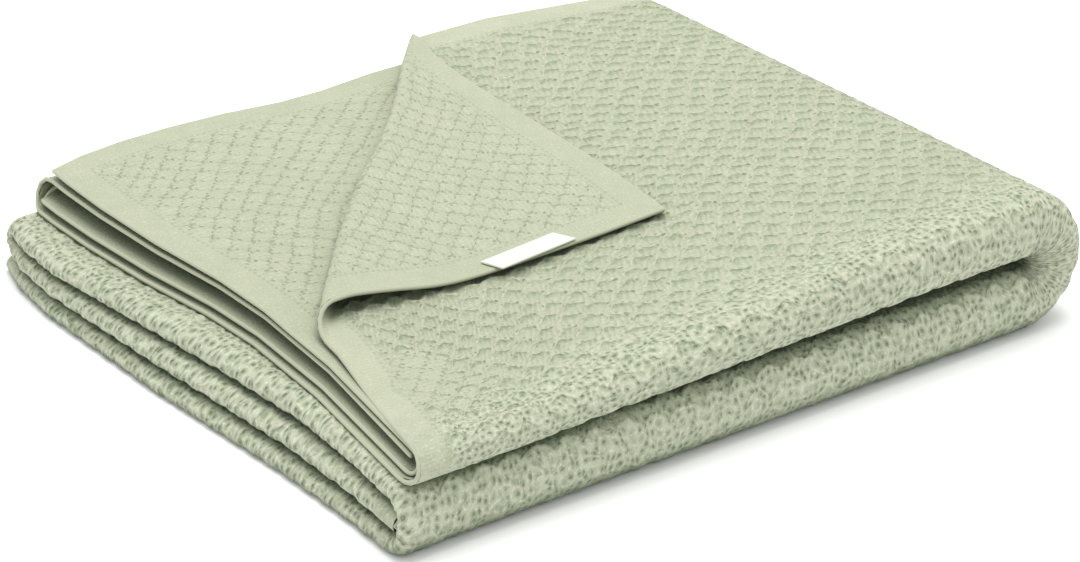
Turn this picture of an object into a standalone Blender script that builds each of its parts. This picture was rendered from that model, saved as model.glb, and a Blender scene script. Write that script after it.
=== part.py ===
"""A knitted cotton crib blanket, folded into a two-deep bundle with one top corner turned back.

Metres, +Z up.  The bundle stands on z = 0, with the origin under its middle.  +X runs along its
front edge, from the end where the hems show to the end where it is folded in half.  +Y runs from
the front edge to the back edge.

The blanket is one sheet.  It starts flat, with u across it and v along it, and it is folded as it
would be by hand: in half along its length, in thirds across its width, and in half once more.
"""
import math
from typing import NamedTuple

import bmesh
import bpy
import numpy as np

# The cloth, laid flat
ACROSS = 0.97
ALONG = 1.536
SHEET = 0.0022
HALF = ALONG / 2

# The folds in thirds.  LEAF is the spacing of the layers that the roundness of these folds follows.
LEAF = 0.0042
FRONT_FOLD = math.pi * 2.5 * LEAF
BACK_FOLD = math.pi * 1.5 * LEAF
TOP_SPARE = 1.5 * LEAF
INNER_HEM_GAP = 0.002
PANEL = (ACROSS - FRONT_FOLD - BACK_FOLD - TOP_SPARE + INNER_HEM_GAP) / 3
U_FRONT = PANEL + TOP_SPARE
U_LOW = U_FRONT + FRONT_FOLD
U_BACK = U_LOW + PANEL
U_INNER = U_BACK + BACK_FOLD
Y_FRONT = 2.5 * LEAF + SHEET / 2
Y_TURN = Y_FRONT + PANEL
Y_HEM = Y_TURN + TOP_SPARE

# Depth of each bundle, from its outer to its inner layer, at the bundle's four corners
LEFT_TOP_FRONT, LEFT_TOP_BACK = 0.0135, 0.0245
LEFT_LOW_FRONT, LEFT_LOW_BACK = 0.0290, 0.0255
RIGHT_FRONT, RIGHT_BACK = 0.0285, 0.0230
CORE_LEFT, CORE_RIGHT = 0.0015, 0.0042

# The middle of the bundle, measured from its square left-hand end and its front edge
MIDDLE_X, MIDDLE_Y = 0.1706, 0.1659

# The underside, which stands a hair higher along its middle than at its two ends
ARCH = 0.00005
ARCH_MIDDLE, ARCH_FLAT, ARCH_ENDS = 0.157, 0.09, 0.16

# The fold in half at the right-hand end
END_FOLD = math.pi * (CORE_RIGHT + RIGHT_FRONT)
V_END = (HALF - END_FOLD) / 2
V_LOW = V_END + END_FOLD

# The first fold in half, whose edge shows as three rolls at the lower left
ROLL_CLOTH = 0.010
ROLL_NOSE = 0.0045
ROLL_PUFF = 0.30
ROLL_REACH = 0.030

# The corner that is turned back, as places on the flat cloth and the roundness of its roll
TURN_ON_HEM = 0.233
TURN_ON_SIDE = 0.219
CURL_AT_HEM = 0.0085
CURL_AT_SIDE = 0.0020
TURN_DRAW = 0.90
TURN_SLEW = 0.171
TURN_BOW = 0.012
TURN_BOW_AT = 0.035
TURN_LAY = 0.0028
TURN_EASE = 8.0

# The label, sewn across the turned corner's hem
LABEL_LONG, LABEL_DEEP, LABEL_SHEET = 0.0455, 0.014, 0.001
LABEL_FROM_CORNER = 0.048
LABEL_SLANT = 0.35
LABEL_OVERHANG = 0.002
LABEL_CLEAR = 0.0003

FADE_HEM = 0.125
FADE_SIDE = 0.09
FADE_ROLL = 0.16


class Bow(NamedTuple):
    """How far the short edges lie from the square, at one place along the bundle's depth."""
    depth: float
    hems_in: float
    roll_out: float
    roll_step: float


class Stagger(NamedTuple):
    """How far each layer's hem lies from the others, at one place across the cloth."""
    across: float
    front_in: float
    reverse_in: float


class Side(NamedTuple):
    """How far the long hem lies behind the back edge, at one place along the bundle."""
    along: float
    front_out: float
    reverse_out: float


BOWS = (
    Bow(0.000, 0.006, 0.005, 0.001),
    Bow(0.045, 0.011, 0.006, 0.008),
    Bow(0.090, 0.016, 0.009, 0.0135),
    Bow(0.145, 0.0175, 0.015, 0.0145),
    Bow(0.180, 0.015, 0.019, 0.0135),
    Bow(0.225, 0.008, 0.022, 0.009),
    Bow(0.270, 0.0035, 0.025, 0.0045),
    Bow(0.300, 0.002, 0.0235, 0.003),
    Bow(0.322, 0.002, 0.0185, 0.002),
)
STAGGERS = (
    Stagger(0.00, 0.000, 0.003),
    Stagger(0.20, 0.008, 0.001),
    Stagger(U_FRONT, 0.001, 0.002),
    Stagger(U_LOW, -0.002, 0.000),
    Stagger(U_BACK, 0.000, 0.001),
    Stagger(U_INNER, 0.009, 0.001),
    Stagger(ACROSS, 0.003, 0.003),
)
SIDES = (
    Side(0.00, 0.000, -0.009),
    Side(0.09, 0.003, 0.000),
    Side(0.20, 0.010, -0.004),
    Side(0.26, 0.010, -0.004),
    Side(0.32, -0.002, -0.004),
    Side(HALF, 0.000, 0.000),
)


def ease(share):
    """Goes from 0 to 1 with a soft start and end."""
    share = np.clip(share, 0.0, 1.0)
    return share * share * (3.0 - 2.0 * share)


def between(low, high, share):
    """The value at a share of the way from low to high."""
    return low + (high - low) * share


def column(rows, key, name, place):
    """Reads one column of a table at a place given in its key column."""
    return np.interp(place, [getattr(row, key) for row in rows], [getattr(row, name) for row in rows])


def turned_corner(u, v):
    """Rolls the corner over its slanting fold.  Gives the flat place it lands on and its lift."""
    length = math.hypot(TURN_ON_HEM, TURN_ON_SIDE)
    along = np.array((-TURN_ON_HEM, TURN_ON_SIDE)) / length
    outward = np.array((-TURN_ON_SIDE, -TURN_ON_HEM)) / length
    e = (u - TURN_ON_HEM) * along[0] + v * along[1]
    n = (u - TURN_ON_HEM) * outward[0] + v * outward[1]
    radius = between(CURL_AT_HEM, CURL_AT_SIDE, np.clip(e / length, 0.0, 1.0))
    bend = np.clip(n / radius, 0.0, math.pi)
    laid = np.maximum(n - math.pi * radius, 0.0)
    n_new = np.where(n > 0.0, radius * np.sin(bend) - TURN_DRAW * laid, n)
    bow = TURN_BOW * (e / length) * (laid / TURN_BOW_AT) * np.exp(1.0 - laid / TURN_BOW_AT)
    e_new = e - TURN_SLEW * laid - bow
    settle = ease(laid / (TURN_EASE * radius))
    top = between(2.0 * radius, TURN_LAY, settle)
    lift = np.where(laid > 0.0, top, radius * (1.0 - np.cos(bend)))
    u_new = TURN_ON_HEM + e_new * along[0] + n_new * outward[0]
    v_new = e_new * along[1] + n_new * outward[1]
    return u_new, v_new, lift


def folded(u, v, lift=0.0):
    """Takes places on the flat cloth to their places in the bundle, as rows of x, y, z."""
    u, v, lift = np.broadcast_arrays(np.asarray(u, float), np.asarray(v, float), np.asarray(lift, float))
    front = v < HALF
    corner = front & (u < U_FRONT) & (v < V_END)
    u_turned, v_turned, lift_turned = turned_corner(u, v)
    u = np.where(corner, u_turned, u)
    v = np.where(corner, v_turned, v)
    lift = lift + np.where(corner, lift_turned, 0.0)

    # In half along the length, front side out
    around = math.pi * np.clip((v - (HALF - ROLL_CLOTH / 2)) / ROLL_CLOTH, 0.0, 1.0)
    s = np.minimum(np.minimum(v, ALONG - v), HALF - ROLL_CLOTH / 2)
    nose = ROLL_NOSE * np.sin(around)
    puff = 1.0 + ROLL_PUFF * np.exp(-((HALF - s) / ROLL_REACH) ** 2)
    side = 0.5 * LEAF * np.cos(around) * puff

    # In thirds across the width: the top panel, the low panel, then the inner panel
    front_turn = math.pi * np.clip((u - U_FRONT) / FRONT_FOLD, 0.0, 1.0)
    back_turn = math.pi * np.clip((u - U_BACK) / BACK_FOLD, 0.0, 1.0)
    front_radius, back_radius = 2.0 * LEAF + side, LEAF + side
    hem_out = np.where(front, column(SIDES, "along", "front_out", s), column(SIDES, "along", "reverse_out", s))
    y_top = Y_HEM - u + hem_out * (1.0 - ease(u / FADE_SIDE))
    y = np.where(u < U_FRONT, y_top, Y_FRONT - front_radius * np.sin(front_turn))
    y = np.where(u > U_LOW, Y_FRONT + (u - U_LOW), y)
    y = np.where(u > U_BACK, Y_TURN + back_radius * np.sin(back_turn), y)
    y = np.where(u > U_INNER, Y_TURN - (u - U_INNER), y)
    height = front_radius * np.cos(front_turn)
    height = np.where(u > U_BACK, -LEAF - back_radius * np.cos(back_turn), height)
    share = (height + 2.5 * LEAF) / (5.0 * LEAF)

    # In half again, at the right-hand end
    back = np.clip((y - Y_FRONT) / PANEL, 0.0, 1.0)
    around_end = math.pi * np.clip((s - V_END) / END_FOLD, 0.0, 1.0)
    on_top, below = s < V_END, s > V_LOW
    stagger = np.where(front, column(STAGGERS, "across", "front_in", u),
                       column(STAGGERS, "across", "reverse_in", u))
    hems_in = column(BOWS, "depth", "hems_in", y) + stagger
    step_in = column(BOWS, "depth", "roll_step", y) * np.clip(1.0 - share, 0.0, 1.0) ** 1.5
    roll_out = column(BOWS, "depth", "roll_out", y) - step_in
    end_depth = between(RIGHT_FRONT, RIGHT_BACK, back)
    reach = CORE_RIGHT + share * end_depth
    x = V_END + reach * np.sin(around_end)
    x = np.where(on_top, s + hems_in * (1.0 - ease(s / FADE_HEM)), x)
    x_low = V_END - (s - V_LOW) - roll_out * ease((s - HALF + FADE_ROLL) / FADE_ROLL) - nose
    x = np.where(below, x_low, x)
    right = ease(x / V_END)
    top_depth = between(between(LEFT_TOP_FRONT, LEFT_TOP_BACK, back), end_depth, right)
    low_depth = between(between(LEFT_LOW_FRONT, LEFT_LOW_BACK, back), end_depth, right)
    core = between(CORE_LEFT, CORE_RIGHT, right)
    middle = SHEET / 2 + core + low_depth
    z_end = SHEET / 2 + CORE_RIGHT + end_depth + reach * np.cos(around_end)
    z = np.where(on_top, middle + core + share * top_depth, z_end)
    z = np.where(below, middle - core - share * low_depth, z)
    z = np.maximum(z, SHEET / 2)
    arch = ARCH * (1.0 - ease((np.abs(x - ARCH_MIDDLE) - ARCH_FLAT) / (ARCH_ENDS - ARCH_FLAT)))
    return np.stack((x - MIDDLE_X, y - MIDDLE_Y, z + arch + lift), axis=-1)


def stations(*stretches):
    """Joins stretches of (start, end, steps) into one rising list of places."""
    places = [stretches[0][0]]
    for start, end, steps in stretches:
        places += [between(start, end, (step + 1) / steps) for step in range(steps)]
    return places


def flat_sheet(across, along):
    """A flat bmesh grid with its lines at the given places, u along its X and v along its Y."""
    mesh = bmesh.new()
    bmesh.ops.create_grid(mesh, x_segments=len(across) - 1, y_segments=len(along) - 1, size=0.5)
    for vert in mesh.verts:
        column_at = round((vert.co.x + 0.5) * (len(across) - 1))
        row_at = round((vert.co.y + 0.5) * (len(along) - 1))
        vert.co = (across[column_at], along[row_at], 0.0)
    return mesh


def crease_turned_corner(mesh, steps):
    """Cuts lines into the flat sheet where the turned corner bends."""
    length = math.hypot(TURN_ON_HEM, TURN_ON_SIDE)
    outward = (-TURN_ON_SIDE / length, -TURN_ON_HEM / length)
    for step in range(steps + 1):
        bend = math.pi * step / steps
        start = (TURN_ON_HEM + bend * CURL_AT_HEM * outward[0], bend * CURL_AT_HEM * outward[1])
        end = (bend * CURL_AT_SIDE * outward[0], TURN_ON_SIDE + bend * CURL_AT_SIDE * outward[1])
        normal = (end[1] - start[1], start[0] - end[0], 0.0)
        faces = [face for face in mesh.faces if face.calc_center_median().x < U_FRONT
                 and face.calc_center_median().y < V_END]
        edges = {edge for face in faces for edge in face.edges}
        verts = {vert for face in faces for vert in face.verts}
        bmesh.ops.bisect_plane(mesh, geom=list(verts) + list(edges) + faces, dist=0.0004,
                               plane_co=(*start, 0.0), plane_no=normal)


def fold_up(mesh, lift=0.0):
    """Moves every point of a flat sheet to its place in the bundle."""
    flat = np.array([vert.co[:] for vert in mesh.verts])
    for vert, place in zip(mesh.verts, folded(flat[:, 0], flat[:, 1], lift)):
        vert.co = place


def finish(name, colour, roughness):
    """A plain cloth material."""
    material = bpy.data.materials.new(name)
    material.use_nodes = True
    shader = material.node_tree.nodes["Principled BSDF"]
    shader.inputs["Base Color"].default_value = (*colour, 1.0)
    shader.inputs["Roughness"].default_value = roughness
    shader.inputs["Metallic"].default_value = 0.0
    return material


def add_sheet(name, mesh, thickness, material, collection):
    """Turns a folded open surface into an object with its own thickness."""
    data = bpy.data.meshes.new(name)
    mesh.to_mesh(data)
    mesh.free()
    data.materials.append(material)
    data.shade_smooth()
    sheet = bpy.data.objects.new(name, data)
    collection.objects.link(sheet)
    solid = sheet.modifiers.new("thickness", "SOLIDIFY")
    solid.thickness = thickness
    solid.offset = 0.0
    return sheet


def build_blanket(collection):
    """The whole blanket: one knitted sheet, folded."""
    across = stations((0.0, U_FRONT, 12), (U_FRONT, U_LOW, 6), (U_LOW, U_BACK, 7),
                      (U_BACK, U_INNER, 5), (U_INNER, ACROSS, 7))
    roll_start, roll_end = HALF - ROLL_CLOTH / 2, HALF + ROLL_CLOTH / 2
    along = stations((0.0, 0.05, 3), (0.05, V_END, 10), (V_END, V_LOW, 8),
                     (V_LOW, HALF - 0.05, 8), (HALF - 0.05, roll_start, 3), (roll_start, roll_end, 5),
                     (roll_end, HALF + 0.05, 3), (HALF + 0.05, ALONG - V_LOW, 8),
                     (ALONG - V_LOW, ALONG - V_END, 8), (ALONG - V_END, ALONG - 0.05, 8),
                     (ALONG - 0.05, ALONG, 2))
    mesh = flat_sheet(across, along)
    crease_turned_corner(mesh, 6)
    fold_up(mesh)
    return add_sheet("blanket", mesh, SHEET, finish("knitted_cotton", (0.56, 0.60, 0.46), 0.9), collection)


def build_label(collection):
    """The blank woven label on the turned corner."""
    across = stations((LABEL_FROM_CORNER, LABEL_FROM_CORNER + LABEL_LONG, 6))
    along = stations((-LABEL_OVERHANG, LABEL_DEEP - LABEL_OVERHANG, 3))
    mesh = flat_sheet(across, along)
    for vert in mesh.verts:
        vert.co.x += LABEL_SLANT * vert.co.y
    fold_up(mesh, SHEET / 2 + LABEL_CLEAR + LABEL_SHEET / 2)
    return add_sheet("label", mesh, LABEL_SHEET, finish("woven_label", (0.86, 0.87, 0.84), 0.6), collection)


def main():
    """Clears the scene and builds the blanket and its label."""
    for thing in list(bpy.data.objects):
        bpy.data.objects.remove(thing, do_unlink=True)
    collection = bpy.data.collections.new("crib_blanket")
    bpy.context.scene.collection.children.link(collection)
    build_blanket(collection)
    build_label(collection)


main()
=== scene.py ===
"""A folded crib blanket in honeycomb knit, with a plain knitted border and a blank label.

The blanket is one sheet, laid flat with u across it and v along it, and carried into its folded
bundle by one fold map.  Its face and its reverse are two skins of that sheet, each with its own
relief of stitches, and a rounded edge joins them all round.
"""
import sys

import logging
import math
from dataclasses import dataclass, field
from enum import Enum
from typing import NamedTuple

import bmesh
import bpy
import numpy as np
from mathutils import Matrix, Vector

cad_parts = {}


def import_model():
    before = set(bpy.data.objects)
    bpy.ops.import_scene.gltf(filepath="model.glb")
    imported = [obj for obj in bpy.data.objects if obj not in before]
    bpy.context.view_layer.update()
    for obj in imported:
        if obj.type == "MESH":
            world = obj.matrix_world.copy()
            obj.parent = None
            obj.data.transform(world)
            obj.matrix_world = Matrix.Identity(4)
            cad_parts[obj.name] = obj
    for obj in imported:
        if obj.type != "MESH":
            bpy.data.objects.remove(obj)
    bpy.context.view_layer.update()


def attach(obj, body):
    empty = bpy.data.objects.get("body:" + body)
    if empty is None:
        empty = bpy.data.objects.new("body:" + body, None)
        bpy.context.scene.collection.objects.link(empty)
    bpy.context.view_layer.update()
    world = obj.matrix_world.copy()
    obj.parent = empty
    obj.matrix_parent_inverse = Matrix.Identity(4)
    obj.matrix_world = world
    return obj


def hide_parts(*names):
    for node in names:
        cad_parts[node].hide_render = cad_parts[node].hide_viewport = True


LOG = logging.getLogger("crib_blanket")


class Side(Enum):
    """The two sides of the knitted cloth."""

    FACE = 1.0
    REVERSE = -1.0


# ---- The cloth and its folds

class Bow(NamedTuple):
    """How far the short edges lie from the square, at one place along the bundle's depth."""

    depth: float
    hems_in: float
    roll_out: float
    roll_step: float


class Stagger(NamedTuple):
    """How far each layer's hem lies from the others, at one place across the cloth."""

    across: float
    front_in: float
    reverse_in: float


class Overhang(NamedTuple):
    """How far the long hem lies behind the back edge, at one place along the bundle."""

    along: float
    front_out: float
    reverse_out: float


class Swell(NamedTuple):
    """How far the turned corner's fold bulges outward, at one place along it from the hem."""

    along: float
    out: float


class Draw(NamedTuple):
    """How much the rows of stitches are drawn, from where along the cloth and over how far."""

    much: float
    start: float
    over: float

    def at(self, v: np.ndarray) -> np.ndarray:
        """The draw at places along the cloth."""
        return self.much * ease((v - self.start) / self.over)


class Wave(NamedTuple):
    """One wave of unevenness over the flat cloth, in radians a metre, and where it starts."""

    across: float
    along: float
    start: float = 0.0

    def at(self, u: np.ndarray, v: np.ndarray) -> np.ndarray:
        """Its height, from -1 to 1."""
        return np.sin(self.across * u + self.along * v + self.start)


def ease(share: np.ndarray | float) -> np.ndarray:
    """Goes from 0 to 1 with a soft start and end."""
    share = np.clip(share, 0.0, 1.0)
    return share * share * (3.0 - 2.0 * share)


def between(low: np.ndarray | float, high: np.ndarray | float, share: np.ndarray | float) -> np.ndarray:
    """The value at a share of the way from low to high."""
    return low + (high - low) * share


@dataclass
class Folds:
    """The flat cloth's sizes and the map that folds it, in metres."""

    # Flat cloth
    across: float = 0.97
    along: float = 1.536
    sheet: float = 0.0022
    # From layer to layer in a pack
    leaf: float = 0.0042
    inner_hem_gap: float = 0.002
    # Depths of the packs at the front and back edges: both packs at the left end, either at the right
    left_top: tuple[float, float] = (0.0135, 0.0245)
    left_low: tuple[float, float] = (0.0290, 0.0255)
    right: tuple[float, float] = (0.0285, 0.0230)
    # Half of the air between the packs, at the left end and at the right end
    core: tuple[float, float] = (0.0015, 0.0042)
    # Middle of the bundle, before it is centred
    middle: tuple[float, float] = (0.1706, 0.1659)
    # Roll where the cloth is folded in half
    roll_cloth: float = 0.010
    roll_nose: float = 0.0045
    roll_puff: float = 0.30
    roll_reach: float = 0.030
    # Turned corner
    turn_on_hem: float = 0.233
    turn_on_side: float = 0.219
    curl: tuple[float, float] = (0.0054, 0.0022)
    curl_power: float = 2.2
    turn_draw: float = 0.915
    turn_slew: float = 0.171
    turn_bow: float = 0.012
    turn_bow_at: float = 0.035
    turn_lay: float = 0.0042
    turn_ease: float = 0.085
    swell_fade: float = 0.075
    swells: tuple[Swell, ...] = (
        Swell(0.000, 0.0062),
        Swell(0.018, 0.0088),
        Swell(0.037, 0.0112),
        Swell(0.060, 0.0108),
        Swell(0.085, 0.0086),
        Swell(0.144, 0.0020),
        Swell(0.199, -0.0008),
        Swell(0.250, -0.0010),
        Swell(0.320, 0.0000),
    )
    # Hollow under the turned corner, and the inner hem's tuck
    sag: float = 0.0036
    sag_reach: tuple[float, float] = (0.075, 0.034)
    sag_squash: float = 0.6
    tuck: float = 0.0065
    # Where the cloth is drawn open
    roll_open: float = 0.026
    front_open: float = 0.8
    front_open_from: float = 0.35
    front_open_reach: float = 0.040
    # Hems and rolls
    step_power: float = 1.5
    fade_hem: float = 0.125
    fade_side: float = 0.09
    fade_roll: float = 0.16
    bows: tuple[Bow, ...] = (
        Bow(0.000, 0.006, 0.005, 0.001),
        Bow(0.045, 0.011, 0.006, 0.008),
        Bow(0.090, 0.016, 0.009, 0.0135),
        Bow(0.145, 0.0175, 0.015, 0.0145),
        Bow(0.180, 0.015, 0.019, 0.0135),
        Bow(0.225, 0.008, 0.022, 0.009),
        Bow(0.270, 0.0035, 0.025, 0.0045),
        Bow(0.300, 0.002, 0.0235, 0.003),
        Bow(0.322, 0.002, 0.0185, 0.002),
    )
    overhangs: tuple[Overhang, ...] = (
        Overhang(0.000, 0.0000, -0.0090),
        Overhang(0.017, 0.0006, -0.0038),
        Overhang(0.040, 0.0013, -0.0006),
        Overhang(0.069, 0.0023, -0.0001),
        Overhang(0.100, 0.0036, -0.0020),
        Overhang(0.128, 0.0054, -0.0065),
        Overhang(0.152, 0.0070, -0.0070),
        Overhang(0.182, 0.0089, -0.0039),
        Overhang(0.200, 0.0100, -0.0038),
        Overhang(0.260, 0.0100, -0.0040),
        Overhang(0.320, -0.0020, -0.0040),
        Overhang(0.768, 0.0000, 0.0000),
    )

    def __post_init__(self) -> None:
        """Works out where each fold starts and ends on the flat cloth."""
        self.half = self.along / 2
        self.crease = math.hypot(self.turn_on_hem, self.turn_on_side)
        self.front_fold = math.pi * 2.5 * self.leaf
        self.back_fold = math.pi * 1.5 * self.leaf
        top_spare = 1.5 * self.leaf
        panels = self.across - self.front_fold - self.back_fold - top_spare + self.inner_hem_gap
        self.panel = panels / 3
        self.u_front = self.panel + top_spare
        self.u_low = self.u_front + self.front_fold
        self.u_back = self.u_low + self.panel
        self.u_inner = self.u_back + self.back_fold
        self.y_front = 2.5 * self.leaf + self.sheet / 2
        self.y_turn = self.y_front + self.panel
        self.y_hem = self.y_turn + top_spare
        self.end_fold = math.pi * (self.core[1] + self.right[0])
        self.v_end = (self.half - self.end_fold) / 2
        self.v_low = self.v_end + self.end_fold
        self.staggers = (
            Stagger(0.00, 0.000, 0.003),
            Stagger(0.20, 0.008, 0.001),
            Stagger(self.u_front, 0.001, 0.002),
            Stagger(self.u_low, -0.005, -0.002),
            Stagger(self.u_back, -0.005, -0.003),
            Stagger(self.u_inner, 0.002, 0.008),
            Stagger(self.across, 0.001, 0.005),
        )

    @staticmethod
    def column(rows: tuple, key: str, name: str, place: np.ndarray) -> np.ndarray:
        """Reads one column of a table at places given in its key column."""
        return np.interp(place, [getattr(row, key) for row in rows], [getattr(row, name) for row in rows])

    def turned_corner(self, u: np.ndarray, v: np.ndarray) -> tuple[np.ndarray, np.ndarray, np.ndarray]:
        """Rolls the corner over its slanting fold.

        Args:
            u: places across the cloth.
            v: places along the cloth.

        Returns:
            The flat place that each point lands on, and its lift over the cloth there.
        """
        run = np.array((-self.turn_on_hem, self.turn_on_side)) / self.crease
        out = np.array((-self.turn_on_side, -self.turn_on_hem)) / self.crease
        e, n = self.from_crease(u, v)
        from_end = np.clip(1.0 - e / self.crease, 0.0, 1.0)
        radius = between(self.curl[1], self.curl[0], from_end ** self.curl_power)
        swell = self.column(self.swells, "along", "out", e)
        n = n - swell
        bend = np.clip(n / radius, 0.0, math.pi)
        laid = np.maximum(n - math.pi * radius, 0.0)
        swell = swell * (1.0 - ease(laid / self.swell_fade))
        n_new = np.where(n > 0.0, radius * np.sin(bend) - self.turn_draw * laid, n) + swell
        share = laid / self.turn_bow_at
        bow = self.turn_bow * (e / self.crease) * share * np.exp(1.0 - share)
        e_new = e - self.turn_slew * laid - bow
        settle = ease(laid / (self.turn_ease * radius / self.curl[0]))
        top = between(2.0 * radius, self.turn_lay, settle)
        lift = np.where(laid > 0.0, top, radius * (1.0 - np.cos(bend)))
        u_new = self.turn_on_hem + e_new * run[0] + n_new * out[0]
        v_new = e_new * run[1] + n_new * out[1]
        return u_new, v_new, lift

    def from_crease(self, u: np.ndarray, v: np.ndarray) -> tuple[np.ndarray, np.ndarray]:
        """Distances along the turned corner's fold and out beyond it.

        Args:
            u: places across the cloth.
            v: places along the cloth.

        Returns:
            The distances along and out.
        """
        e = (-(u - self.turn_on_hem) * self.turn_on_hem + v * self.turn_on_side) / self.crease
        n = (-(u - self.turn_on_hem) * self.turn_on_side - v * self.turn_on_hem) / self.crease
        return e, n

    def hollow(self, u: np.ndarray, v: np.ndarray) -> np.ndarray:
        """How far the cloth sinks under the turned corner's open hem, from 0 to 1.

        Args:
            u: places across the cloth.
            v: places along the cloth.

        Returns:
            The share of the full sag.
        """
        e, n = self.from_crease(u, v)
        near = 1.0 - ease(np.hypot(e, self.sag_squash * (n + self.sag_reach[1])) / self.sag_reach[0])
        return near * ease(-n / self.sag_reach[1])

    def stretched(self, u: np.ndarray, v: np.ndarray) -> np.ndarray:
        """How far the cloth is drawn open over the end roll or the front fold, from 0 to 1.

        Args:
            u: places across the cloth.
            v: places along the cloth.

        Returns:
            The share of the full opening.
        """
        s = np.minimum(v, self.along - v)
        roll = np.exp(-((self.half - s) / self.roll_open) ** 2)
        from_fold = np.abs(u - (self.u_front + self.u_low) / 2) - self.front_open_from * self.front_fold
        return np.maximum(roll, self.front_open * (1.0 - ease(from_fold / self.front_open_reach)))

    def place(self, u: np.ndarray, v: np.ndarray) -> np.ndarray:
        """Takes places on the flat cloth to their places in the bundle.

        Args:
            u: places across the cloth.
            v: places along the cloth.

        Returns:
            Rows of x, y, z for the middle of the sheet.
        """
        front = v < self.half
        corner = front & (u < self.u_front) & (v < self.v_end)
        u_turned, v_turned, lift = self.turned_corner(u, v)
        sag = self.sag * self.hollow(u, v) * corner
        u = np.where(corner, u_turned, u)
        v = np.where(corner, v_turned, v)
        lift = np.where(corner, lift, 0.0)

        roll_from = self.half - self.roll_cloth / 2
        around = math.pi * np.clip((v - roll_from) / self.roll_cloth, 0.0, 1.0)
        s = np.minimum(np.minimum(v, self.along - v), roll_from)
        nose = self.roll_nose * np.sin(around)
        puff = 1.0 + self.roll_puff * np.exp(-((self.half - s) / self.roll_reach) ** 2)
        side = 0.5 * self.leaf * np.cos(around) * puff

        front_turn = math.pi * np.clip((u - self.u_front) / self.front_fold, 0.0, 1.0)
        back_turn = math.pi * np.clip((u - self.u_back) / self.back_fold, 0.0, 1.0)
        front_radius, back_radius = 2.0 * self.leaf + side, self.leaf + side
        hem_out = np.where(front, self.column(self.overhangs, "along", "front_out", s),
                           self.column(self.overhangs, "along", "reverse_out", s))
        y = self.y_hem - u + hem_out * (1.0 - ease(u / self.fade_side))
        y = np.where(u < self.u_front, y, self.y_front - front_radius * np.sin(front_turn))
        y = np.where(u > self.u_low, self.y_front + (u - self.u_low), y)
        y = np.where(u > self.u_back, self.y_turn + back_radius * np.sin(back_turn), y)
        near_roll = ease((s - self.half + self.fade_roll) / self.fade_roll)
        tuck = self.tuck * near_roll * ease((u - self.u_inner) / self.panel)
        y = np.where(u > self.u_inner, self.y_turn - (u - self.u_inner) - tuck, y)
        height = front_radius * np.cos(front_turn)
        height = np.where(u > self.u_back, -self.leaf - back_radius * np.cos(back_turn), height)
        share = (height + 2.5 * self.leaf) / (5.0 * self.leaf)

        back = np.clip((y - self.y_front) / self.panel, 0.0, 1.0)
        around_end = math.pi * np.clip((s - self.v_end) / self.end_fold, 0.0, 1.0)
        on_top, below = s < self.v_end, s > self.v_low
        stagger = np.where(front, self.column(self.staggers, "across", "front_in", u),
                           self.column(self.staggers, "across", "reverse_in", u))
        hems_in = self.column(self.bows, "depth", "hems_in", y) + stagger
        low = np.clip(1.0 - share, 0.0, 1.0) ** self.step_power
        step_in = self.column(self.bows, "depth", "roll_step", y) * low
        roll_out = self.column(self.bows, "depth", "roll_out", y) - step_in
        end_depth = between(*self.right, back)
        reach = self.core[1] + share * end_depth
        x = self.v_end + reach * np.sin(around_end)
        x = np.where(on_top, s + hems_in * (1.0 - ease(s / self.fade_hem)), x)
        x = np.where(below, self.v_end - (s - self.v_low) - roll_out * near_roll - nose, x)
        right = ease(x / self.v_end)
        top_depth = between(between(*self.left_top, back), end_depth, right)
        low_depth = between(between(*self.left_low, back), end_depth, right)
        core = between(*self.core, right)
        level = self.sheet / 2 + core + low_depth
        z = self.sheet / 2 + self.core[1] + end_depth + reach * np.cos(around_end)
        z = np.where(on_top, level + core + share * top_depth, z)
        z = np.where(below, level - core - share * low_depth, z)
        z = np.maximum(z, self.sheet / 2)
        return np.stack((x - self.middle[0], y - self.middle[1], z + lift - sag), axis=-1)

    def tangents(self, u: np.ndarray, v: np.ndarray, step: float = 0.0005) -> tuple[np.ndarray, np.ndarray]:
        """The directions in which the folded sheet runs across and along, at flat places."""
        over = self.place(u + step, v) - self.place(u - step, v)
        down = self.place(u, v + step) - self.place(u, v - step)
        return over, down

    def normals(self, u: np.ndarray, v: np.ndarray) -> np.ndarray:
        """Unit directions out of the cloth's face, at flat places."""
        over, down = self.tangents(u, v)
        normal = np.cross(over, down)
        return normal / np.maximum(np.linalg.norm(normal, axis=-1, keepdims=True), 1e-12)


# ---- The knit

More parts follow.
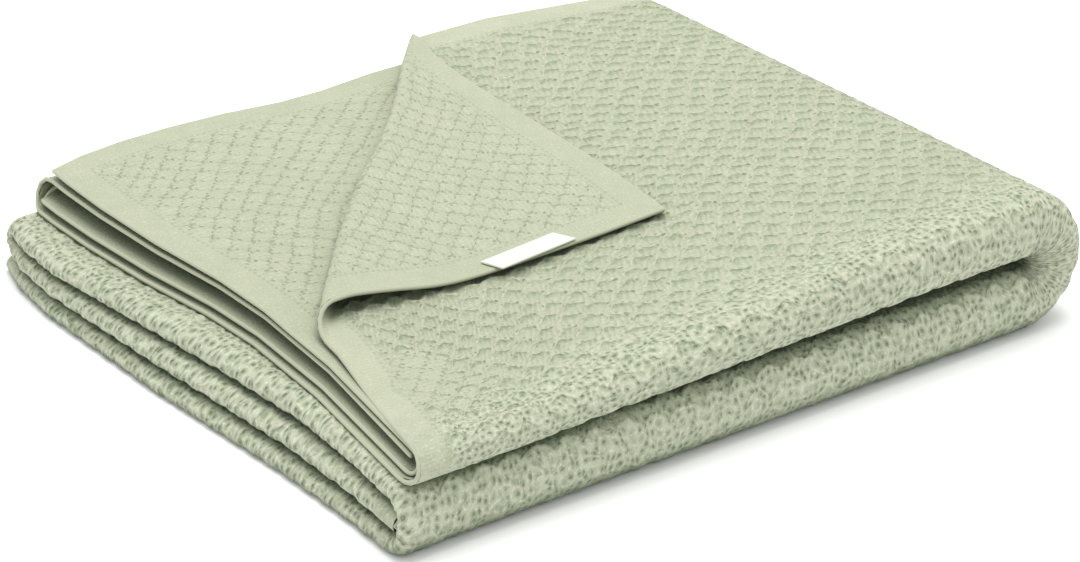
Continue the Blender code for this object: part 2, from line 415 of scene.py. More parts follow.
@dataclass
class Knit:
    """The honeycomb stitch and the plain border, as a relief over the flat cloth."""

    folds: Folds
    pitch_across: float = 0.0136
    pitch_along: float = 0.0139
    squeeze: float = 1.22
    border: float = 0.0150
    border_soft: float = 0.0022
    ridge_rise: float = 0.00055
    hollow_fall: float = 0.00105
    hollow_reach: float = 0.27
    pad_rise: float = 0.00035
    groove_fall: float = 0.00075
    groove_reach: float = 0.17
    wander: float = 0.0011
    waver: float = 0.00045
    flatten: float = 0.48
    rib_width: float = 0.25
    rib_rise: float = 0.00012
    drawn_near: Draw = Draw(0.045, 0.12, 0.20)
    drawn_far: Draw = Draw(0.03, 0.75, 0.25)
    lean_in: Draw = Draw(0.10, 0.06, 0.16)
    lean_out: Draw = Draw(1.0, 0.30, 0.12)
    lean_about: float = 0.15
    uneven: float = 0.22
    wanders_along: tuple[Wave, ...] = (Wave(41.0, 17.0), Wave(67.0, -29.0, 1.3))
    wanders_across: tuple[Wave, ...] = (Wave(-23.0, 53.0, 0.7), Wave(59.0, 31.0))
    wavers_along: tuple[Wave, ...] = (Wave(383.0, 171.0), Wave(-263.0, 521.0))
    wavers_across: tuple[Wave, ...] = (Wave(-229.0, 347.0), Wave(467.0, 311.0))
    uneven_waves: tuple[Wave, Wave] = (Wave(223.0, 67.0), Wave(-91.0, 239.0))

    def cells(self, u: np.ndarray, v: np.ndarray) -> tuple[np.ndarray, np.ndarray]:
        """Counts cells along and across, at flat places, where the cloth is drawn a little unevenly.

        Args:
            u: places across the cloth.
            v: places along the cloth.

        Returns:
            The counts along and across.
        """
        drawn = self.drawn_near.at(v) - self.drawn_far.at(v)
        lean = self.lean_in.at(v) * (1.0 - self.lean_out.at(v))
        v_drawn = v - drawn * np.maximum(v - self.drawn_near.start, 0.0) - lean * (u - self.lean_about)
        v_drawn = v_drawn + self.wander * sum(wave.at(u, v) for wave in self.wanders_along)
        v_drawn = v_drawn + self.waver * sum(wave.at(u, v) for wave in self.wavers_along)
        u_drawn = u + self.wander * sum(wave.at(u, v) for wave in self.wanders_across)
        u_drawn = u_drawn + self.waver * sum(wave.at(u, v) for wave in self.wavers_across)
        return v_drawn / self.pitch_along + 2.0, u_drawn / self.pitch_across + 2.0

    def in_field(self, u: np.ndarray, v: np.ndarray) -> np.ndarray:
        """1 in the honeycomb field and 0 in the plain border."""
        return ease((self.from_edge(u, v) - self.border) / self.border_soft)

    def from_edge(self, u: np.ndarray, v: np.ndarray) -> np.ndarray:
        """The distance in from the cloth's nearest edge."""
        return np.minimum(np.minimum(u, self.folds.across - u), np.minimum(v, self.folds.along - v))

    def along_edge(self, u: np.ndarray, v: np.ndarray) -> np.ndarray:
        """The distance along the cloth's nearest edge."""
        from_side = np.minimum(u, self.folds.across - u)
        from_end = np.minimum(v, self.folds.along - v)
        return np.where(from_side < from_end, from_end, from_side)

    def edges(self, u: np.ndarray, v: np.ndarray) -> tuple[np.ndarray, np.ndarray]:
        """How far the place lies inside its six-sided cell.

        Args:
            u: places across the cloth.
            v: places along the cloth.

        Returns:
            The distances to the nearest slanting side and to the nearest upright side, in cells.
        """
        a, b = self.cells(u, v)
        x_one, y_one = a - np.round(a), b - np.round(b)
        x_two, y_two = a - np.floor(a) - 0.5, b - np.floor(b) - 0.5
        first = x_one ** 2 + (self.squeeze * y_one) ** 2 < x_two ** 2 + (self.squeeze * y_two) ** 2
        x, y = np.where(first, x_one, x_two), np.where(first, y_one, y_two)
        whole = 1.0 + self.squeeze ** 2
        slanting = (0.25 * whole - np.abs(x) - self.squeeze ** 2 * np.abs(y)) / math.sqrt(whole)
        return slanting, 0.5 - np.abs(x)

    def relief(self, side: Side, u: np.ndarray, v: np.ndarray) -> np.ndarray:
        """Height of one side over the sheet's own level: ridges on the face, pads on the reverse.

        Args:
            side: the side of the cloth.
            u: places across the cloth.
            v: places along the cloth.

        Returns:
            The heights, in metres, toward the face.
        """
        slanting, upright = self.edges(u, v)
        if side is Side.FACE:
            hollow = ease(slanting / self.hollow_reach)
            height = between(self.ridge_rise, -self.hollow_fall, hollow)
            height = between(self.rib_rise, height, ease(upright / self.rib_width))
        else:
            pad = ease(slanting / self.groove_reach) * 0.4 + ease(upright / self.groove_reach) * 0.6
            height = -between(-self.groove_fall, self.pad_rise, pad)
        first, second = self.uneven_waves
        uneven = 1.0 - self.uneven + self.uneven * first.at(u, v) * second.at(u, v)
        return height * uneven * self.in_field(u, v) * (1.0 - self.flatten * self.folds.stretched(u, v))


def stations(*stretches: tuple[float, float, int]) -> np.ndarray:
    """Joins stretches of (start, end, steps) into one rising row of places."""
    places = [np.linspace(start, end, steps + 1)[:-1] for start, end, steps in stretches]
    return np.concatenate(places + [np.array([stretches[-1][1]])])


def new_object(name: str, mesh: bmesh.types.BMesh) -> bpy.types.Object:
    """Makes an object of a bmesh, frees the bmesh and shades it smooth.

    Args:
        name: the object's name.
        mesh: the bmesh, which is used up.

    Returns:
        The object, in the scene.
    """
    data = bpy.data.meshes.new(name)
    mesh.to_mesh(data)
    mesh.free()
    data.shade_smooth()
    thing = bpy.data.objects.new(name, data)
    bpy.context.scene.collection.objects.link(thing)
    return thing


def flat_grid(across: np.ndarray, along: np.ndarray) -> bmesh.types.BMesh:
    """A flat bmesh grid with its lines at the given places, u along its X and v along its Y.

    Args:
        across: the places of its lines across the cloth.
        along: the places of its lines along it.

    Returns:
        The bmesh.
    """
    mesh = bmesh.new()
    bmesh.ops.create_grid(mesh, x_segments=len(across) - 1, y_segments=len(along) - 1, size=0.5)
    for vert in mesh.verts:
        column_at = round((vert.co.x + 0.5) * (len(across) - 1))
        row_at = round((vert.co.y + 0.5) * (len(along) - 1))
        vert.co = (across[column_at], along[row_at], 0.0)
    return mesh


def places_of(data: bpy.types.Mesh) -> np.ndarray:
    """The mesh's points as rows."""
    flat = np.empty(len(data.vertices) * 3, np.float32)
    data.vertices.foreach_get("co", flat)
    return flat.reshape(-1, 3).astype(float)


def put_places(data: bpy.types.Mesh, places: np.ndarray) -> None:
    """Moves the mesh's points to the given rows."""
    data.vertices.foreach_set("co", places.astype(np.float32).ravel())
    data.update()


def put_layer(data: bpy.types.Mesh, name: str, rows: np.ndarray) -> None:
    """Keeps three numbers on each of the mesh's points, under a name that a material reads."""
    layer = data.attributes.new(name, "FLOAT_VECTOR", "POINT")
    layer.data.foreach_set("vector", rows.astype(np.float32).ravel())


@dataclass
class Shown:
    """Which parts of the cloth show in the folded bundle, and so carry fine stitches."""

    folds: Folds
    roll_reach: float = 0.034
    under: float = 0.035

    def under_flap(self, u: np.ndarray, v: np.ndarray) -> np.ndarray:
        """Whether the turned corner covers the place.

        Args:
            u: places across the cloth.
            v: places along the cloth.

        Returns:
            True where it does.
        """
        f = self.folds
        e, n = f.from_crease(u, v)
        over = -n / f.turn_draw
        u_over = f.turn_on_hem - (e * f.turn_on_hem + over * f.turn_on_side) / f.crease
        v_over = (e * f.turn_on_side - over * f.turn_on_hem) / f.crease
        return (n < -self.under) & (u_over > self.under) & (v_over > self.under)

    def fine(self, side: Side, u: np.ndarray, v: np.ndarray) -> np.ndarray:
        """Whether the place shows on the given side.

        Args:
            side: the side of the cloth.
            u: places across the cloth.
            v: places along the cloth.

        Returns:
            True where it shows.
        """
        f = self.folds
        if side is Side.REVERSE:
            s = np.minimum(v, f.along - v)
            _, n = f.from_crease(u, s)
            return (n > -0.02) & (u < f.u_front) & (s < f.v_end)
        _, n = f.from_crease(u, v)
        top = (v < f.v_low) & (u < f.u_low) & (n < self.under + 0.01) & ~self.under_flap(u, v)
        fold = (u > f.u_front) & (u < f.u_low) & (v < f.half)
        roll = np.abs(v - f.half) < self.roll_reach
        return top | fold | roll


@dataclass
class Skin:
    """One side of the knitted sheet, folded, with its stitches raised."""

    name: str
    side: Side
    folds: Folds
    knit: Knit
    across: np.ndarray
    along: np.ndarray
    cuts: int = 6

    def flat_mesh(self) -> bmesh.types.BMesh:
        """The flat sheet, with fine cells in its patches."""
        mesh = flat_grid(self.across, self.along)
        centres = np.array([face.calc_center_median()[:] for face in mesh.faces])
        shown = Shown(self.folds).fine(self.side, centres[:, 0], centres[:, 1])
        fine = [face for face, show in zip(mesh.faces, shown) if show]
        edges = list({edge for face in fine for edge in face.edges})
        bmesh.ops.subdivide_edges(mesh, edges=edges, cuts=self.cuts, use_grid_fill=True)
        if self.side is Side.REVERSE:
            bmesh.ops.reverse_faces(mesh, faces=mesh.faces[:])
        return mesh

    def build(self) -> bpy.types.Object:
        """Meshes the side, folds it and raises its stitches."""
        skin = new_object(self.name, self.flat_mesh())
        flat = places_of(skin.data)
        u, v = flat[:, 0], flat[:, 1]
        rise = self.side.value * self.folds.sheet / 2 + self.knit.relief(self.side, u, v)
        places = self.folds.place(u, v) + self.folds.normals(u, v) * rise[:, None]
        places[:, 2] = np.maximum(places[:, 2], 0.0)
        put_places(skin.data, places)
        a, b = self.knit.cells(u, v)
        put_layer(skin.data, "cells", np.stack((a, b, self.knit.in_field(u, v)), axis=-1))
        put_layer(skin.data, "edge", np.stack((self.knit.from_edge(u, v), self.knit.along_edge(u, v),
                                               self.folds.stretched(u, v)), axis=-1))
        return skin


@dataclass
class HemEdge:
    """The rounded edge that joins the face to the reverse, all round the cloth."""

    folds: Folds
    name: str = "blanket_edge"
    spacing: float = 0.004
    corner_steps: int = 4
    round_steps: int = 5

    def walk(self) -> tuple[np.ndarray, np.ndarray, np.ndarray]:
        """Goes round the flat cloth's outline.

        Returns:
            The places across, the places along, and the directions in which the edge faces.
        """
        wide, long = self.folds.across, self.folds.along
        corners = ((0.0, 0.0), (wide, 0.0), (wide, long), (0.0, long))
        places, facing = [], []
        for turn, (start, end) in enumerate(zip(corners, corners[1:] + corners[:1])):
            steps = round(math.dist(start, end) / self.spacing)
            angle = math.radians(90.0 * turn - 90.0)
            for step in range(self.corner_steps):
                places.append(start)
                facing.append(angle - math.radians(90.0) * (1.0 - step / self.corner_steps))
            for step in range(steps):
                share = step / steps
                places.append((between(start[0], end[0], share), between(start[1], end[1], share)))
                facing.append(angle)
        places = np.array(places)
        return places[:, 0], places[:, 1], np.array(facing)

    def build(self) -> bpy.types.Object:
        """Sweeps a half round along the outline."""
        u, v, facing = self.walk()
        middle, normal = self.folds.place(u, v), self.folds.normals(u, v)
        over, down = self.folds.tangents(u, v)
        out = over * np.cos(facing)[:, None] + down * np.sin(facing)[:, None]
        out /= np.linalg.norm(out, axis=-1, keepdims=True)
        radius = self.folds.sheet / 2
        mesh = bmesh.new()
        rows = []
        for step in range(self.round_steps + 1):
            turn = math.pi * step / self.round_steps
            ring = middle + radius * (normal * math.cos(turn) + out * math.sin(turn))
            rows.append([mesh.verts.new(place) for place in ring])
        count = len(u)
        for low, high in zip(rows, rows[1:]):
            for at in range(count):
                nxt = (at + 1) % count
                mesh.faces.new((low[at], high[at], high[nxt], low[nxt]))
        bmesh.ops.remove_doubles(mesh, verts=mesh.verts[:], dist=1e-6)
        bmesh.ops.recalc_face_normals(mesh, faces=mesh.faces[:])
        edge = new_object(self.name, mesh)
        none = np.zeros((len(edge.data.vertices), 3))
        put_layer(edge.data, "cells", none)
        put_layer(edge.data, "edge", none)
        return edge


@dataclass
class Label:
    """The blank woven label on the turned corner's hem."""

    folds: Folds
    long: float = 0.0425
    deep: float = 0.0112
    sheet: float = 0.001
    from_corner: float = 0.0510
    slant: float = 0.58
    askew: float = 0.085
    overhang: float = 0.0008
    clear: float = 0.0003
    steps: tuple[int, int] = (32, 12)
    soft: float = 0.0003
    name: str = "label_cloth"

    def build(self) -> bpy.types.Object:
        """Lays the label on the folded hem, with rounded edges."""
        across = np.linspace(self.from_corner, self.from_corner + self.long, self.steps[0] + 1)
        along = np.linspace(-self.overhang, self.deep - self.overhang, self.steps[1] + 1)
        label = new_object(self.name, flat_grid(across, along))
        flat = places_of(label.data)
        u = flat[:, 0] + self.slant * flat[:, 1]
        v = flat[:, 1] - self.askew * (flat[:, 0] - self.from_corner)
        places = self.folds.place(u, v)
        places[:, 2] += self.folds.sheet / 2 + self.clear + self.sheet / 2
        put_places(label.data, places)
        put_layer(label.data, "flat", np.stack((flat[:, 0], flat[:, 1], np.zeros_like(u)), axis=-1))
        solid = label.modifiers.new("thickness", "SOLIDIFY")
        solid.thickness = self.sheet
        solid.offset = 0.0
        bevel = label.modifiers.new("soft_edges", "BEVEL")
        bevel.width = self.soft
        bevel.segments = 2
        return label


# ---- Finishes

class Shades:
    """A material's node tree, with one way of adding any node."""

    def __init__(self, name: str) -> None:
        """Starts a new material with an empty tree."""
        self.material = bpy.data.materials.new(name)
        self.material.use_nodes = True
        self.tree = self.material.node_tree
        self.tree.nodes.clear()

    def add(self, kind: str, settings: dict[str, object] | None = None,
            inputs: dict[str | int, object] | None = None) -> bpy.types.Node:
        """Adds a node.

        Args:
            kind: the node's type.
            settings: the node's own properties, set first.
            inputs: values or links for its sockets, by name or number.

        Returns:
            The node.
        """
        node = self.tree.nodes.new(kind)
        for key, value in (settings or {}).items():
            setattr(node, key, value)
        for key, value in (inputs or {}).items():
            socket = node.inputs[key]
            if isinstance(value, Value):
                value = value.socket
            if isinstance(value, bpy.types.NodeSocket):
                self.tree.links.new(value, socket)
            else:
                socket.default_value = value
        return node

    def layer(self, name: str) -> tuple["Value", "Value", "Value"]:
        """Reads the three numbers that the mesh keeps under a name."""
        read = self.add("ShaderNodeAttribute", {"attribute_name": name, "attribute_type": "GEOMETRY"})
        parts = self.add("ShaderNodeSeparateXYZ", inputs={0: read.outputs["Vector"]})
        return tuple(Value(self, parts.outputs[part]) for part in range(3))

    def soft_step(self, value: "Value", low: float, high: float) -> "Value":
        """Goes softly from 0 to 1 as the value goes from low to high."""
        node = self.add("ShaderNodeMapRange", {"interpolation_type": "SMOOTHSTEP"},
                        {"Value": value, "From Min": low, "From Max": high, "To Min": 0.0, "To Max": 1.0})
        return Value(self, node.outputs["Result"])

    def mix(self, share: "Value | float", first: object, second: object) -> bpy.types.NodeSocket:
        """Blends two colours."""
        node = self.add("ShaderNodeMix", {"data_type": "RGBA"}, {0: share, 6: first, 7: second})
        return node.outputs[2]

    def noise(self, vector: bpy.types.NodeSocket, scale: float, detail: float) -> "Value":
        """Even noise around one half."""
        node = self.add("ShaderNodeTexNoise", {"noise_dimensions": "3D"},
                        {"Vector": vector, "Scale": scale, "Detail": detail, "Roughness": 0.6})
        return Value(self, node.outputs["Fac"])

    def loops(self, vector: bpy.types.NodeSocket, scale: float) -> "Value":
        """Distance from the middle of the nearest knitted loop, in loops."""
        node = self.add("ShaderNodeTexVoronoi", {"voronoi_dimensions": "2D", "feature": "F1"},
                        {"Vector": vector, "Scale": scale, "Randomness": 0.55})
        return Value(self, node.outputs["Distance"])

    def light_reach(self, distance: float) -> "Value":
        """How open the place is to its surroundings, from 0 deep in a gap to 1 on the outside."""
        node = self.add("ShaderNodeAmbientOcclusion", {"samples": 6}, {"Distance": distance})
        return Value(self, node.outputs["AO"])

    def vector(self, x: object, y: object, z: object) -> bpy.types.NodeSocket:
        """Joins three numbers."""
        return self.add("ShaderNodeCombineXYZ", inputs={0: x, 1: y, 2: z}).outputs[0]

    def close(self, sockets: dict[str, object]) -> bpy.types.Material:
        """Feeds the shader and the output, and returns the material."""
        shader = self.add("ShaderNodeBsdfPrincipled", inputs=sockets)
        self.add("ShaderNodeOutputMaterial", inputs={"Surface": shader.outputs[0]})
        return self.material


class Value:
    """A number that varies over a surface.  Arithmetic on it adds Math nodes."""

    def __init__(self, shades: Shades, socket: bpy.types.NodeSocket) -> None:
        """Wraps a node's output."""
        self.shades = shades
        self.socket = socket

    def math(self, operation: str, *others: "Value | float") -> "Value":
        """Adds one Math node of this value and others."""
        inputs = dict(enumerate((self, *others)))
        node = self.shades.add("ShaderNodeMath", {"operation": operation}, inputs)
        return Value(self.shades, node.outputs[0])

    def turned(self, operation: str, other: float) -> "Value":
        """Adds one Math node with a plain number first."""
        node = self.shades.add("ShaderNodeMath", {"operation": operation}, {0: other, 1: self})
        return Value(self.shades, node.outputs[0])

    def __add__(self, other: "Value | float") -> "Value":
        """Adds."""
        return self.math("ADD", other)

    __radd__ = __add__

    def __sub__(self, other: "Value | float") -> "Value":
        """Takes away."""
        return self.math("SUBTRACT", other)

    def __rsub__(self, other: float) -> "Value":
        """Takes this from a plain number."""
        return self.turned("SUBTRACT", other)

    def __mul__(self, other: "Value | float") -> "Value":
        """Multiplies."""
        return self.math("MULTIPLY", other)

    __rmul__ = __mul__

    def __truediv__(self, other: "Value | float") -> "Value":
        """Divides."""
        return self.math("DIVIDE", other)

    def __rtruediv__(self, other: float) -> "Value":
        """Divides a plain number by this."""
        return self.turned("DIVIDE", other)

    def part(self) -> "Value":
        """What is left over a whole number."""
        return self.math("FRACT")

    def size(self) -> "Value":
        """The value without its sign."""
        return self.math("ABSOLUTE")

    def sine(self) -> "Value":
        """Its sine."""
        return self.math("SINE")

    def lower_of(self, other: "Value | float") -> "Value":
        """The lower of two."""
        return self.math("MINIMUM", other)


class Hole(NamedTuple):
    """A round eyelet in each cell, from the cell's middle, in cells."""

    along: float
    across: float
    radius: float


@dataclass(frozen=True)
class Weights:
    """How strongly each mark of the stitch shows on one side: its tone, then its height."""

    lean: tuple[float, float]
    # Tones: the cell hollows and the grooves get painted shade, the dip under each ridge gets painted
    # shadow, and plain is an even darkening of the whole side
    hollow: float
    groove: float
    shadow_dip: float
    plain: float
    eyelet: float
    pinhole: float
    ridge_height: float
    shadow_dip_height: float
    groove_height: float


WEIGHTS = {
    Side.FACE: Weights((0.50, 0.31), 0.22, 0.0, 0.58, 0.0, 0.50, 0.06, 0.70, 0.45, 0.0),
    Side.REVERSE: Weights((0.06, 0.56), 0.0, 0.60, 0.15, 0.14, 0.34, 0.14, 0.0, 0.0, 0.7),
}


@dataclass(frozen=True)
class Marks:
    """The marks of the stitch over one side of the cloth, each from 0 to 1."""

    in_field: "Value"
    ridge: "Value"
    groove: "Value"
    # Where painted shadow falls under each ridge, also pressed in a little by the bump
    shadow_dip: "Value"
    holes: "Value"
    pinhole: "Value"
    # Where rims of painted highlight go round the loops, where the cloth is drawn open
    ring_highlights: "Value"
    open_loops: "Value"
    patches: "Value"
    patchy: "Value"
    fuzz: "Value"
    cloth: "Value"


@dataclass(frozen=True)
class KnitFinish:
    """Cotton yarn in honeycomb stitch and plain border, with painted shade and painted highlights."""

    name: str
    side: Side
    # Colours of the yarn: its own tone; a darker one that takes painted shade and its darker random tone;
    # painted highlights; its holes; and painted shade deep in the gaps between the layers
    yarn: tuple[float, float, float] = (0.453, 0.464, 0.343)
    shade_and_dark_tone: tuple[float, float, float] = (0.262, 0.312, 0.202)
    lit: tuple[float, float, float] = (0.64, 0.66, 0.52)
    eyelet: tuple[float, float, float] = (0.070, 0.105, 0.045)
    deep: tuple[float, float, float] = (0.060, 0.100, 0.035)
    # How far the painted gap shade looks for cloth nearby, the band it fades over, and how strong it is
    gap_shade_reach: float = 0.020
    gap_shade_band: tuple[float, float] = (0.15, 0.76)
    gap_shade_share: float = 0.80
    roughness: float = 0.92
    sheen: float = 0.12
    # Stitches, in cells from the cell's sides
    squeeze: float = 1.22
    drift: float = 0.26
    drift_scale: float = 2.6
    loops: float = 4.1
    strand: float = 9.0
    ridge_band: tuple[float, float] = (0.02, 0.13)
    rib_band: tuple[float, float] = (0.03, 0.16)
    groove_band: tuple[float, float] = (0.0, 0.07)
    rib_groove_band: tuple[float, float] = (0.0, 0.08)
    # Where the painted shadow under each ridge falls, in cells from the cell's sides
    shadow_dip_from: tuple[float, float] = (0.02, 0.09)
    shadow_dip_to: tuple[float, float] = (0.13, 0.27)
    shadow_dip_off_rib: tuple[float, float] = (0.18, 0.36)
    shadow_dip_half: tuple[float, float] = (-0.12, 0.06)
    pinhole_band: tuple[float, float] = (0.05, 0.27)
    # Rims of painted highlight round the loops
    ring_highlight_band: tuple[float, float] = (0.36, 0.52)
    eyelets: tuple[Hole, ...] = (Hole(0.35, -0.13, 0.055), Hole(0.31, 0.19, 0.050), Hole(-0.28, 0.16, 0.036))
    # Border, in metres
    rib: float = 0.0019
    link_in: float = 0.0146
    link_pitch: float = 0.0034
    link_size: tuple[float, float] = (0.0009, 0.0007)
    # Bump
    bump_strength: float = 0.75
    bump_depth: float = 0.0010

    def material(self) -> bpy.types.Material:
        """Builds the material."""
        s = Shades(self.name)
        marks = self.marks(s)
        bump = s.add("ShaderNodeBump", inputs={"Strength": self.bump_strength, "Distance": self.bump_depth,
                                               "Height": self.height(marks)})
        return s.close({"Base Color": self.colour(s, marks), "Roughness": self.roughness,
                        "Sheen Weight": self.sheen, "Sheen Roughness": 0.5, "Specular IOR Level": 0.25,
                        "Normal": bump.outputs[0]})

    def marks(self, s: Shades) -> Marks:
        """Works out where each mark of the stitch lies.

        Args:
            s: the material's node tree.

        Returns:
            The marks.
        """
        a, b, in_field = s.layer("cells")
        _, _, open_loops = s.layer("edge")
        drift = s.noise(s.vector(a, b, 7.0), self.drift_scale, 2.0)
        drift_two = s.noise(s.vector(b, a, 1.0), self.drift_scale, 2.0)
        x, y = self.in_cell(a + (drift - 0.5) * self.drift, b + (drift_two - 0.5) * self.drift)
        whole = 1.0 + self.squeeze ** 2
        slanting = (0.25 * whole - x.size() - y.size() * self.squeeze ** 2) / math.sqrt(whole)
        upright = 0.5 - x.size()
        ridge = (1.0 - s.soft_step(slanting, *self.ridge_band)) * s.soft_step(upright, *self.rib_band)
        groove = ((1.0 - s.soft_step(slanting, *self.groove_band)) * 0.30
                  + (1.0 - s.soft_step(upright, *self.rib_groove_band))).lower_of(1.0)
        # The dip just under each ridge, on one side of the cell, where painted shadow falls
        shadow_dip = (s.soft_step(slanting, *self.shadow_dip_from) * (1.0 - s.soft_step(slanting, *self.shadow_dip_to))
                  * s.soft_step(upright, *self.shadow_dip_off_rib) * (1.0 - s.soft_step(y, *self.shadow_dip_half))
                  * s.soft_step(drift_two, 0.26, 0.60))
        first, second, third = (self.hole(s, x, y, hole) for hole in self.eyelets)
        holes = (first + second + third).lower_of(1.0) * (s.soft_step(drift, 0.30, 0.56) * 0.65 + 0.35)
        loop = s.loops(s.vector(a, b, 0.0), self.loops)
        patches = s.noise(s.vector(a, b, 11.0), 2.1, 3.0)
        pinhole = (1.0 - s.soft_step(loop, *self.pinhole_band)) * s.soft_step(patches, 0.30, 0.62)
        fuzz = s.noise(s.vector(a, b, 0.0), 11.0, 4.0)
        turn_a, turn_b = (math.tau * lean * self.strand for lean in WEIGHTS[self.side].lean)
        strands = (a * turn_a + b * turn_b + fuzz * 3.0).sine() * 0.5 + 0.5
        return Marks(in_field=in_field, ridge=ridge * in_field, groove=groove * in_field,
                     shadow_dip=shadow_dip * in_field, holes=holes * in_field * (1.0 - open_loops * 0.7),
                     pinhole=pinhole * in_field,
                     ring_highlights=s.soft_step(loop, *self.ring_highlight_band) * open_loops * in_field,
                     open_loops=open_loops, patches=patches,
                     patchy=s.noise(s.vector(a, b, 3.0), 0.9, 2.0), fuzz=fuzz,
                     cloth=in_field * strands + (1.0 - in_field) * self.border(s))

    def colour(self, s: Shades, marks: Marks) -> bpy.types.NodeSocket:
        """Colours the yarn by its marks, with painted shade in its hollows, grooves and gaps and painted
        highlights on its loops.

        Args:
            s: the material's node tree.
            marks: the marks of the stitch.

        Returns:
            The colour's socket.
        """
        w = WEIGHTS[self.side]
        # Toward the darker colour: painted shade in the cell hollows off the ridges and in the grooves, and
        # painted shadow in the dip under each ridge; the rest is the yarn's darker tone between strands, in
        # random patches, at pinholes, where the cloth is drawn open and in the border
        dark = (1.0 - marks.ridge) * w.hollow * marks.in_field + marks.groove * w.groove + w.plain
        dark = dark + (1.0 - marks.cloth) * 0.18 + s.soft_step(marks.patchy, 0.35, 0.70) * 0.12
        # Pinholes darken, and the dip under each ridge gets painted shadow
        dark = dark + marks.pinhole * (marks.open_loops * 0.80 + 0.12) + marks.shadow_dip * w.shadow_dip
        dark = dark + s.soft_step(marks.patches, 0.40, 0.68) * marks.open_loops * 0.45
        dark = dark + (1.0 - marks.in_field) * 0.12
        # Painted highlights: bright specks on the yarn, and rims of light round the loops where the cloth is
        # drawn open
        light = s.soft_step(marks.fuzz, 0.50, 0.72) * (marks.open_loops * 0.25 + 0.40) + marks.ring_highlights * 0.40
        # Painted shade deep in the gaps between the layers, darker where the cloth round about shuts out
        # more of its surroundings
        deep = (1.0 - s.soft_step(s.light_reach(self.gap_shade_reach), *self.gap_shade_band)) * self.gap_shade_share
        base = s.mix(dark.lower_of(1.0), (*self.yarn, 1.0), (*self.shade_and_dark_tone, 1.0))
        base = s.mix(light, base, (*self.lit, 1.0))
        base = s.mix(marks.holes * w.eyelet, base, (*self.eyelet, 1.0))
        base = s.mix(marks.pinhole * (marks.open_loops * 0.38 + w.pinhole), base, (*self.eyelet, 1.0))
        return s.mix(deep, base, (*self.deep, 1.0))

    def height(self, marks: Marks) -> "Value":
        """How high the yarn stands, for the bump."""
        w = WEIGHTS[self.side]
        pinholes = marks.pinhole * (marks.open_loops * 1.1 + 0.15)
        return (marks.cloth * 0.25 + marks.fuzz * 0.85 - marks.holes * 0.8 - pinholes
                + marks.ridge * w.ridge_height - marks.shadow_dip * w.shadow_dip_height
                - marks.groove * w.groove_height)

    def in_cell(self, a: "Value", b: "Value") -> tuple["Value", "Value"]:
        """The place from the middle of its own cell, in cells along and across."""
        x_one, y_one = (a + 0.5).part() - 0.5, (b + 0.5).part() - 0.5
        x_two, y_two = a.part() - 0.5, b.part() - 0.5
        square = self.squeeze ** 2
        first = (x_one * x_one + y_one * y_one * square).math(
            "LESS_THAN", x_two * x_two + y_two * y_two * square)
        return x_two + (x_one - x_two) * first, y_two + (y_one - y_two) * first

    def border(self, s: Shades) -> "Value":
        """Fine ribs across the border and a dotted row of linking stitches at its inner edge."""
        from_edge, along_edge, _ = s.layer("edge")
        ribs = (along_edge * (math.pi / self.rib)).sine().size()
        dot = ((along_edge / self.link_pitch).part() - 0.5) * (self.link_pitch / self.link_size[0])
        row = (from_edge - self.link_in) / self.link_size[1]
        dots = 1.0 - s.soft_step(dot * dot + row * row, 0.4, 1.5)
        return ribs * 0.5 + 0.5 - dots * 1.6

    @staticmethod
    def hole(s: Shades, x: "Value", y: "Value", hole: Hole) -> "Value":
        """1 inside a round eyelet in each cell."""
        across, down = (x - hole.along) / hole.radius, (y - hole.across) / hole.radius
        return 1.0 - s.soft_step(across * across + down * down, 0.4, 1.8)


@dataclass(frozen=True)
class LabelFinish:
    """Smooth off-white woven tape."""

    name: str = "woven_label"
    tape: tuple[float, float, float] = (0.70, 0.71, 0.64)
    thread: tuple[float, float, float] = (0.55, 0.56, 0.50)
    thread_share: float = 0.25
    pick: float = 0.0005

    def material(self) -> bpy.types.Material:
        """Builds the material."""
        s = Shades(self.name)
        u, v, _ = s.layer("flat")
        over = (u * (math.pi / self.pick)).sine().size()
        down = (v * (math.pi / self.pick)).sine().size()
        base = s.mix((1.0 - over * down) * self.thread_share, (*self.tape, 1.0), (*self.thread, 1.0))
        bump = s.add("ShaderNodeBump", inputs={"Strength": 0.4, "Distance": 0.0002, "Height": over * down})
        return s.close({"Base Color": base, "Roughness": 0.55, "Specular IOR Level": 0.35,
                        "Normal": bump.outputs[0]})


# ---- The studio

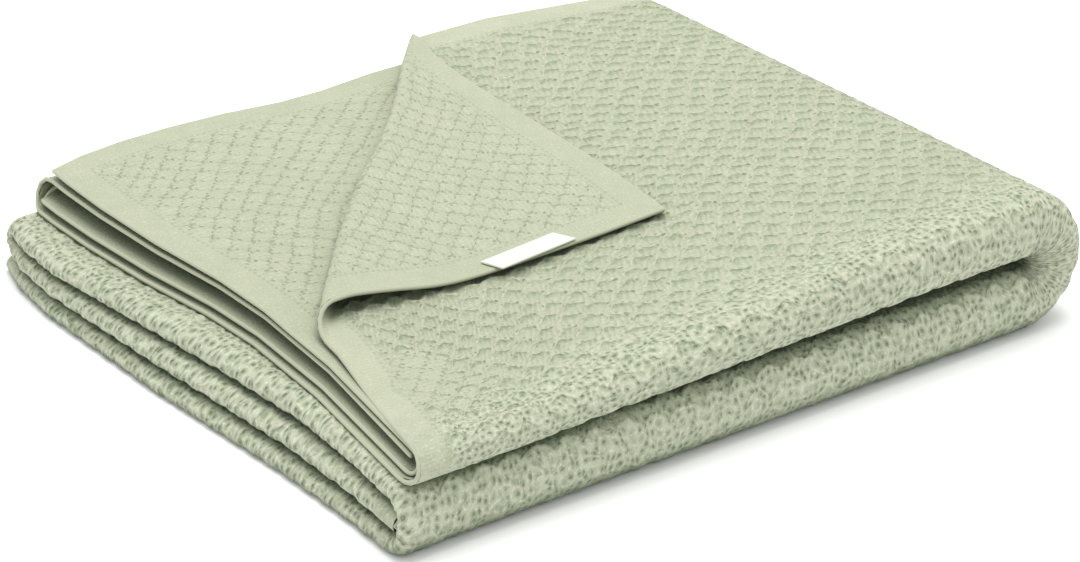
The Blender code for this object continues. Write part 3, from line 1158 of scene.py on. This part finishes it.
@dataclass
class Studio:
    """A plain pale floor, soft light and the camera."""

    lens: float = 36.0 * 3442.55 / 1080.0
    yaw: float = 0.9641793453546874
    pitch: float = 0.4872885855781546
    eye: tuple[float, float, float] = (-0.7994968, -1.1620640, 0.7530517)
    floor_white: tuple[float, float, float] = (0.96, 0.96, 0.96)
    floor_reach: float = 6.0
    sky: float = 1.03
    lamp_at: tuple[float, float, float] = (0.20, 0.15, 2.1)
    lamp_size: tuple[float, float] = (1.4, 1.2)
    lamp_watts: float = 30.0

    def camera(self) -> None:
        """Sets the camera at the photograph's angle."""
        camera = bpy.data.objects.new("camera", bpy.data.cameras.new("camera"))
        camera.data.lens = self.lens
        camera.data.sensor_width = 36.0
        camera.data.clip_end = 20.0
        look = (math.cos(self.pitch) * math.cos(self.yaw), math.cos(self.pitch) * math.sin(self.yaw),
                -math.sin(self.pitch))
        camera.location = self.eye
        camera.rotation_euler = Vector(look).to_track_quat("-Z", "Y").to_euler()
        bpy.context.scene.collection.objects.link(camera)
        bpy.context.scene.camera = camera

    def floor(self) -> None:
        """Lays a wide pale floor."""
        mesh = bmesh.new()
        bmesh.ops.create_grid(mesh, x_segments=2, y_segments=2, size=self.floor_reach)
        floor = new_object("floor", mesh)
        shades = Shades("floor")
        floor.data.materials.append(shades.close({"Base Color": (*self.floor_white, 1.0), "Roughness": 0.8}))

    def light(self) -> None:
        """Sets an even sky and one large soft lamp overhead."""
        world = bpy.data.worlds.new("studio")
        world.use_nodes = True
        back = world.node_tree.nodes["Background"]
        back.inputs[0].default_value = (1.0, 1.0, 1.0, 1.0)
        back.inputs[1].default_value = self.sky
        bpy.context.scene.world = world
        lamp = bpy.data.objects.new("soft_lamp", bpy.data.lights.new("soft_lamp", "AREA"))
        lamp.data.shape = "RECTANGLE"
        lamp.data.size, lamp.data.size_y = self.lamp_size
        lamp.data.energy = self.lamp_watts
        lamp.location = self.lamp_at
        lamp.rotation_euler = (-lamp.location).to_track_quat("-Z", "Y").to_euler()
        bpy.context.scene.collection.objects.link(lamp)

    def build(self) -> None:
        """Sets the camera, floor and light."""
        self.camera()
        self.floor()
        self.light()
        view = bpy.context.scene.view_settings
        view.view_transform = "Standard"


@dataclass
class Blanket:
    """The whole blanket: face, reverse, edge and label."""

    folds: Folds = field(default_factory=Folds)
    patch: float = 0.0112
    near_roll: float = 0.0336
    roll_patches: int = 6
    low_patches: int = 27

    def skins(self) -> tuple[Skin, Skin]:
        """The two sides, each fine where it shows.

        Returns:
            The face and the reverse.
        """
        f, knit = self.folds, Knit(self.folds)
        across = stations((0.0, f.u_front, round(f.u_front / self.patch)), (f.u_front, f.u_low, 4),
                          (f.u_low, f.u_back, round(f.panel / self.patch)), (f.u_back, f.u_inner, 3),
                          (f.u_inner, f.across, round(f.panel / self.patch)))
        top_patches, end_patches = round(f.v_end / self.patch), round(f.end_fold / self.patch)
        before, after = f.half - self.near_roll, f.half + self.near_roll
        along = stations((0.0, f.v_end, top_patches), (f.v_end, f.v_low, end_patches),
                         (f.v_low, before, self.low_patches), (before, after, self.roll_patches),
                         (after, f.along - f.v_low, self.low_patches),
                         (f.along - f.v_low, f.along - f.v_end, end_patches),
                         (f.along - f.v_end, f.along, top_patches))
        return (Skin("blanket_face", Side.FACE, f, knit, across, along),
                Skin("blanket_reverse", Side.REVERSE, f, knit, across, along))

    def build(self) -> None:
        """Builds and dresses every piece, attaches it to the root and hides the model's part that it stands
        for.
        """
        finishes = {Side.FACE: KnitFinish("knit_face", Side.FACE).material(),
                    Side.REVERSE: KnitFinish("knit_reverse", Side.REVERSE).material()}
        built = {}
        for skin in self.skins():
            piece = skin.build()
            piece.data.materials.append(finishes[skin.side])
            built[skin.side] = piece
        edge = HemEdge(self.folds).build()
        edge.data.materials.append(finishes[Side.FACE])
        label = Label(self.folds).build()
        label.data.materials.append(LabelFinish().material())
        for piece, node, slot in ((built[Side.FACE], "blanket", "knitted_cotton"),
                                  (built[Side.REVERSE], "blanket", "knitted_cotton"),
                                  (edge, "blanket", "knitted_cotton"),
                                  (label, "label", "woven_label")):
            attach(piece, "root")
            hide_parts(node)
            LOG.info("%s: %d points, %d faces", piece.name,
                     len(piece.data.vertices), len(piece.data.polygons))


def plain(box: object) -> list[list[float]]:
    """A box's corners as plain lists."""
    return [[float(number) for number in corner] for corner in box]


def main() -> None:
    """Builds the studio and the blanket."""
    logging.basicConfig(level=logging.INFO, format="%(message)s", stream=sys.stdout)
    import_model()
    Studio().build()
    Blanket().build()


if __name__ == "__main__":
    main()
